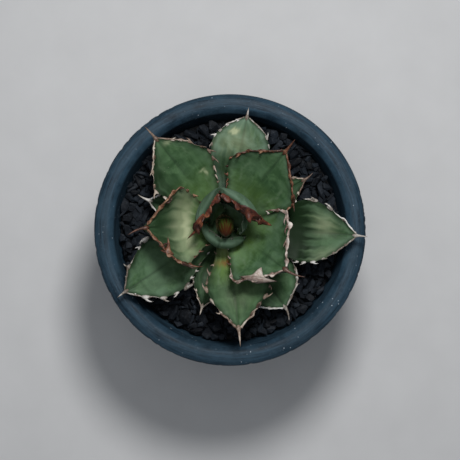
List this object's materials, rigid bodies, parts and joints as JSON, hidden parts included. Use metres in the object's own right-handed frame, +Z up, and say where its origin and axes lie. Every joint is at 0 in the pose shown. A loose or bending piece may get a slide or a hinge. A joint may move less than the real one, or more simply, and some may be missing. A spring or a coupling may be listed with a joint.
{
  "type": "potted agave",
  "caption": "Compact rosette agave with broad, toothed, grey-green leaves in a round dark plastic pot dressed with broken lava.",
  "frame": {"origin": "centre of the pot's foot ring, on the surface the pot stands on", "axes": "+Z up along the pot's axis, +X to the right and +Y away from the viewer who looks at the pot's front"},
  "size_m": [0.1364, 0.1364, 0.1555],
  "materials": {
    "pot_plastic": "matt, with fine turned lines and dust",
    "potting_mix": "rough, granular",
    "lava": "matt, broken faces",
    "stem": "fibrous",
    "leaf": "satin, waxy bloom",
    "heart": "satin"
  },
  "bodies": {
    "root": {"pot": "pot_plastic", "potting_mix": "potting_mix", "stone_bed": "lava", "stem_and_roots": "stem", "heart_bud": "heart", "leaf_01": "leaf", "leaf_02": "leaf", "leaf_03": "leaf", "leaf_04": "leaf", "leaf_05": "leaf", "leaf_06": "leaf", "leaf_07": "leaf", "leaf_08": "leaf", "leaf_09": "leaf", "leaf_10": "leaf", "leaf_11": "leaf", "leaf_12": "leaf", "leaf_13": "leaf", "leaf_14": "leaf", "leaf_15": "leaf", "stone_01": "lava", "stone_02": "lava", "stone_03": "lava", "stone_04": "lava", "stone_05": "lava", "stone_06": "lava", "stone_07": "lava", "stone_08": "lava", "stone_09": "lava", "stone_10": "lava", "stone_11": "lava", "stone_12": "lava", "stone_13": "lava", "stone_14": "lava", "stone_15": "lava", "stone_16": "lava", "stone_17": "lava", "stone_18": "lava", "stone_19": "lava", "stone_20": "lava", "stone_21": "lava", "stone_22": "lava", "stone_23": "lava", "stone_24": "lava", "stone_25": "lava", "stone_26": "lava", "stone_27": "lava", "stone_28": "lava", "stone_29": "lava", "stone_30": "lava", "stone_31": "lava", "stone_32": "lava", "stone_33": "lava", "stone_34": "lava", "stone_35": "lava", "stone_36": "lava", "stone_37": "lava", "stone_38": "lava"}
  },
  "joints": []
}
